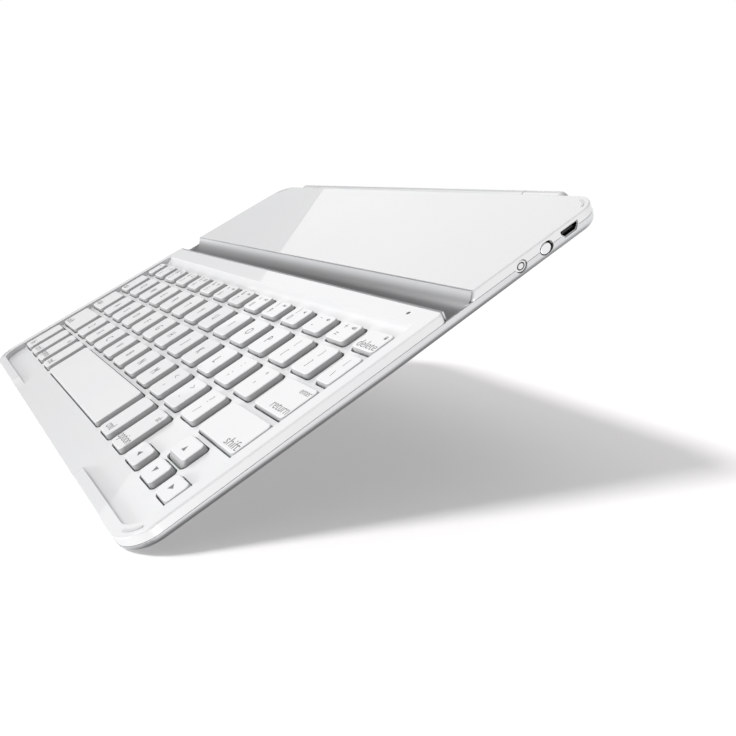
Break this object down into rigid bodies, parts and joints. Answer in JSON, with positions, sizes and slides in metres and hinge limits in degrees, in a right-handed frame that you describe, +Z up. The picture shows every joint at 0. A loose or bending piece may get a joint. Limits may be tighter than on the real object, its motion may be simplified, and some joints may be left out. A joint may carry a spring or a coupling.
{
  "type": "tablet keyboard case",
  "caption": "Slim tablet cover with a built-in keyboard: silver tray, white decks, a full-width slot that props the tablet up, and a magnetic hinge bar.",
  "frame": {"origin": "centre of the flat underside", "axes": "+X to the user's right, +Y from the user towards the hinge, +Z up out of the keys"},
  "size_m": [0.2414, 0.1912, 0.0076],
  "materials": {
    "gloss_white": "glossy white moulding",
    "key_white": "satin white key caps with grey legends",
    "shell_metal": "fine bead-blasted aluminium",
    "liner_metal": "satin silver",
    "steel": "bare steel",
    "magnet": "nickel plated",
    "film": "printed film",
    "silicone": "soft translucent white",
    "bumper_grey": "soft light grey",
    "black_plastic": "moulded black",
    "cell_wrap": "laminate pouch",
    "board_green": "solder resist",
    "lens_grey": "smoked lens",
    "link_plastic": "natural plastic"
  },
  "bodies": {
    "case": {"battery_cells": "cell_wrap", "bottom_shell": "shell_metal", "connect_switch": "black_plastic", "corner_bumpers": "bumper_grey", "front_cover": "gloss_white", "hinge_knuckles": "gloss_white", "hinge_pins": "steel", "key_domes": "silicone", "key_membrane": "film", "key_plate": "steel", "main_board": "board_green", "power_switch": "black_plastic", "rear_cover": "gloss_white", "scissor_links": "link_plastic", "slot_liner": "liner_metal", "slot_magnets": "magnet", "status_light": "lens_grey", "usb_socket": "steel", "usb_tongue": "black_plastic"},
    "arrow_keys_body": {"arrow_keys": "key_white"},
    "key_a_body": {"key_a": "key_white"},
    "key_b_body": {"key_b": "key_white"},
    "key_c_body": {"key_c": "key_white"},
    "key_caps_body": {"key_caps": "key_white"},
    "key_d_body": {"key_d": "key_white"},
    "key_delete_body": {"key_delete": "key_white"},
    "key_e_body": {"key_e": "key_white"},
    "key_f_body": {"key_f": "key_white"},
    "key_g_body": {"key_g": "key_white"},
    "key_h_body": {"key_h": "key_white"},
    "key_i_body": {"key_i": "key_white"},
    "key_j_body": {"key_j": "key_white"},
    "key_k_body": {"key_k": "key_white"},
    "key_l_body": {"key_l": "key_white"},
    "key_m_body": {"key_m": "key_white"},
    "key_n_body": {"key_n": "key_white"},
    "key_o_body": {"key_o": "key_white"},
    "key_p_body": {"key_p": "key_white"},
    "key_q_body": {"key_q": "key_white"},
    "key_r_body": {"key_r": "key_white"},
    "key_return_body": {"key_return": "key_white"},
    "key_s_body": {"key_s": "key_white"},
    "key_shift_left_body": {"key_shift_left": "key_white"},
    "key_shift_right_body": {"key_shift_right": "key_white"},
    "key_space_body": {"key_space": "key_white"},
    "key_t_body": {"key_t": "key_white"},
    "key_tab_body": {"key_tab": "key_white"},
    "key_u_body": {"key_u": "key_white"},
    "key_v_body": {"key_v": "key_white"},
    "key_w_body": {"key_w": "key_white"},
    "key_x_body": {"key_x": "key_white"},
    "key_y_body": {"key_y": "key_white"},
    "key_z_body": {"key_z": "key_white"},
    "modifier_keys_body": {"modifier_keys": "key_white"},
    "number_keys_body": {"number_keys": "key_white"},
    "punctuation_keys_body": {"punctuation_keys": "key_white"},
    "connect_button_body": {"connect_button": "gloss_white"},
    "power_knob_body": {"power_knob": "shell_metal"},
    "hinge_bar_body": {"hinge_bar": "gloss_white", "hinge_magnets": "magnet"}
  },
  "joints": [
    {"name": "arrow_keys_press", "type": "slide", "parent": "case", "child": "arrow_keys_body", "axis": [0, 0, -1], "range_m": [0, 0.0012], "stiffness_N_per_m": 1000, "springref_m": -0.0008},
    {"name": "a_press", "type": "slide", "parent": "case", "child": "key_a_body", "axis": [0, 0, -1], "range_m": [0, 0.0012], "stiffness_N_per_m": 250, "springref_m": -0.0008},
    {"name": "b_press", "type": "slide", "parent": "case", "child": "key_b_body", "axis": [0, 0, -1], "range_m": [0, 0.0012], "stiffness_N_per_m": 250, "springref_m": -0.0008},
    {"name": "c_press", "type": "slide", "parent": "case", "child": "key_c_body", "axis": [0, 0, -1], "range_m": [0, 0.0012], "stiffness_N_per_m": 250, "springref_m": -0.0008},
    {"name": "caps_press", "type": "slide", "parent": "case", "child": "key_caps_body", "axis": [0, 0, -1], "range_m": [0, 0.0012], "stiffness_N_per_m": 250, "springref_m": -0.0008},
    {"name": "d_press", "type": "slide", "parent": "case", "child": "key_d_body", "axis": [0, 0, -1], "range_m": [0, 0.0012], "stiffness_N_per_m": 250, "springref_m": -0.0008},
    {"name": "delete_press", "type": "slide", "parent": "case", "child": "key_delete_body", "axis": [0, 0, -1], "range_m": [0, 0.0012], "stiffness_N_per_m": 250, "springref_m": -0.0008},
    {"name": "e_press", "type": "slide", "parent": "case", "child": "key_e_body", "axis": [0, 0, -1], "range_m": [0, 0.0012], "stiffness_N_per_m": 250, "springref_m": -0.0008},
    {"name": "f_press", "type": "slide", "parent": "case", "child": "key_f_body", "axis": [0, 0, -1], "range_m": [0, 0.0012], "stiffness_N_per_m": 250, "springref_m": -0.0008},
    {"name": "g_press", "type": "slide", "parent": "case", "child": "key_g_body", "axis": [0, 0, -1], "range_m": [0, 0.0012], "stiffness_N_per_m": 250, "springref_m": -0.0008},
    {"name": "h_press", "type": "slide", "parent": "case", "child": "key_h_body", "axis": [0, 0, -1], "range_m": [0, 0.0012], "stiffness_N_per_m": 250, "springref_m": -0.0008},
    {"name": "i_press", "type": "slide", "parent": "case", "child": "key_i_body", "axis": [0, 0, -1], "range_m": [0, 0.0012], "stiffness_N_per_m": 250, "springref_m": -0.0008},
    {"name": "j_press", "type": "slide", "parent": "case", "child": "key_j_body", "axis": [0, 0, -1], "range_m": [0, 0.0012], "stiffness_N_per_m": 250, "springref_m": -0.0008},
    {"name": "k_press", "type": "slide", "parent": "case", "child": "key_k_body", "axis": [0, 0, -1], "range_m": [0, 0.0012], "stiffness_N_per_m": 250, "springref_m": -0.0008},
    {"name": "l_press", "type": "slide", "parent": "case", "child": "key_l_body", "axis": [0, 0, -1], "range_m": [0, 0.0012], "stiffness_N_per_m": 250, "springref_m": -0.0008},
    {"name": "m_press", "type": "slide", "parent": "case", "child": "key_m_body", "axis": [0, 0, -1], "range_m": [0, 0.0012], "stiffness_N_per_m": 250, "springref_m": -0.0008},
    {"name": "n_press", "type": "slide", "parent": "case", "child": "key_n_body", "axis": [0, 0, -1], "range_m": [0, 0.0012], "stiffness_N_per_m": 250, "springref_m": -0.0008},
    {"name": "o_press", "type": "slide", "parent": "case", "child": "key_o_body", "axis": [0, 0, -1], "range_m": [0, 0.0012], "stiffness_N_per_m": 250, "springref_m": -0.0008},
    {"name": "p_press", "type": "slide", "parent": "case", "child": "key_p_body", "axis": [0, 0, -1], "range_m": [0, 0.0012], "stiffness_N_per_m": 250, "springref_m": -0.0008},
    {"name": "q_press", "type": "slide", "parent": "case", "child": "key_q_body", "axis": [0, 0, -1], "range_m": [0, 0.0012], "stiffness_N_per_m": 250, "springref_m": -0.0008},
    {"name": "r_press", "type": "slide", "parent": "case", "child": "key_r_body", "axis": [0, 0, -1], "range_m": [0, 0.0012], "stiffness_N_per_m": 250, "springref_m": -0.0008},
    {"name": "return_press", "type": "slide", "parent": "case", "child": "key_return_body", "axis": [0, 0, -1], "range_m": [0, 0.0012], "stiffness_N_per_m": 250, "springref_m": -0.0008},
    {"name": "s_press", "type": "slide", "parent": "case", "child": "key_s_body", "axis": [0, 0, -1], "range_m": [0, 0.0012], "stiffness_N_per_m": 250, "springref_m": -0.0008},
    {"name": "shift_left_press", "type": "slide", "parent": "case", "child": "key_shift_left_body", "axis": [0, 0, -1], "range_m": [0, 0.0012], "stiffness_N_per_m": 250, "springref_m": -0.0008},
    {"name": "shift_right_press", "type": "slide", "parent": "case", "child": "key_shift_right_body", "axis": [0, 0, -1], "range_m": [0, 0.0012], "stiffness_N_per_m": 250, "springref_m": -0.0008},
    {"name": "space_press", "type": "slide", "parent": "case", "child": "key_space_body", "axis": [0, 0, -1], "range_m": [0, 0.0012], "stiffness_N_per_m": 325, "springref_m": -0.0008},
    {"name": "t_press", "type": "slide", "parent": "case", "child": "key_t_body", "axis": [0, 0, -1], "range_m": [0, 0.0012], "stiffness_N_per_m": 250, "springref_m": -0.0008},
    {"name": "tab_press", "type": "slide", "parent": "case", "child": "key_tab_body", "axis": [0, 0, -1], "range_m": [0, 0.0012], "stiffness_N_per_m": 250, "springref_m": -0.0008},
    {"name": "u_press", "type": "slide", "parent": "case", "child": "key_u_body", "axis": [0, 0, -1], "range_m": [0, 0.0012], "stiffness_N_per_m": 250, "springref_m": -0.0008},
    {"name": "v_press", "type": "slide", "parent": "case", "child": "key_v_body", "axis": [0, 0, -1], "range_m": [0, 0.0012], "stiffness_N_per_m": 250, "springref_m": -0.0008},
    {"name": "w_press", "type": "slide", "parent": "case", "child": "key_w_body", "axis": [0, 0, -1], "range_m": [0, 0.0012], "stiffness_N_per_m": 250, "springref_m": -0.0008},
    {"name": "x_press", "type": "slide", "parent": "case", "child": "key_x_body", "axis": [0, 0, -1], "range_m": [0, 0.0012], "stiffness_N_per_m": 250, "springref_m": -0.0008},
    {"name": "y_press", "type": "slide", "parent": "case", "child": "key_y_body", "axis": [0, 0, -1], "range_m": [0, 0.0012], "stiffness_N_per_m": 250, "springref_m": -0.0008},
    {"name": "z_press", "type": "slide", "parent": "case", "child": "key_z_body", "axis": [0, 0, -1], "range_m": [0, 0.0012], "stiffness_N_per_m": 250, "springref_m": -0.0008},
    {"name": "modifier_keys_press", "type": "slide", "parent": "case", "child": "modifier_keys_body", "axis": [0, 0, -1], "range_m": [0, 0.0012], "stiffness_N_per_m": 1500, "springref_m": -0.0008},
    {"name": "number_keys_press", "type": "slide", "parent": "case", "child": "number_keys_body", "axis": [0, 0, -1], "range_m": [0, 0.0012], "stiffness_N_per_m": 3250, "springref_m": -0.0008},
    {"name": "punctuation_keys_press", "type": "slide", "parent": "case", "child": "punctuation_keys_body", "axis": [0, 0, -1], "range_m": [0, 0.0012], "stiffness_N_per_m": 2000, "springref_m": -0.0008},
    {"name": "connect_press", "type": "slide", "parent": "case", "child": "connect_button_body", "axis": [-1, 0, 0], "range_m": [0, 0.0004], "stiffness_N_per_m": 1500, "springref_m": -0.0004},
    {"name": "power_slide", "type": "slide", "parent": "case", "child": "power_knob_body", "axis": [0, 1, 0], "range_m": [0, 0.001]},
    {"name": "hinge_turn", "type": "hinge", "parent": "case", "child": "hinge_bar_body", "pos_m": [0, 0.095, 0.0042], "axis": [1, 0, 0], "range_deg": [0, 110]}
  ]
}
